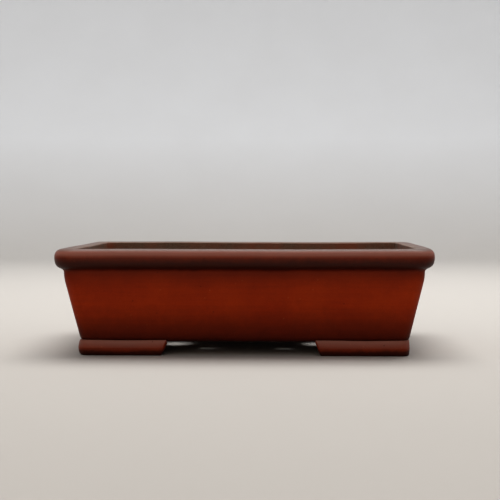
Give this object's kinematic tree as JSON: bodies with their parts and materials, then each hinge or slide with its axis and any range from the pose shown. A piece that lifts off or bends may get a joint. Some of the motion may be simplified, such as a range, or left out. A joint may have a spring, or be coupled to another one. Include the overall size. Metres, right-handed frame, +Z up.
{
  "type": "bonsai pot",
  "caption": "Rectangular unglazed stoneware bonsai pot with a rounded overhanging lip, sloping walls, corner feet, and drainage holes under clipped mesh screens.",
  "frame": {"origin": "centre of the footprint, on the surface that the pot stands on", "axes": "+X along the pot's length, front face towards -Y, +Z up"},
  "size_m": [0.3, 0.225, 0.085],
  "materials": {
    "wall_clay": "unglazed, burnished, satin",
    "trim_clay": "unglazed, burnished, satin",
    "screen_plastic": "moulded, matt",
    "clip_wire": "brown anodised"
  },
  "bodies": {
    "root": {"base_slab": "wall_clay", "front_wall": "wall_clay", "back_wall": "wall_clay", "left_wall": "wall_clay", "right_wall": "wall_clay", "front_lip": "trim_clay", "back_lip": "trim_clay", "left_lip": "trim_clay", "right_lip": "trim_clay", "front_left_foot": "trim_clay", "back_left_foot": "trim_clay", "front_right_foot": "trim_clay", "back_right_foot": "trim_clay", "drainage_screen_left": "screen_plastic", "drainage_screen_right": "screen_plastic", "screen_clip_left": "clip_wire", "screen_clip_right": "clip_wire"}
  },
  "joints": []
}
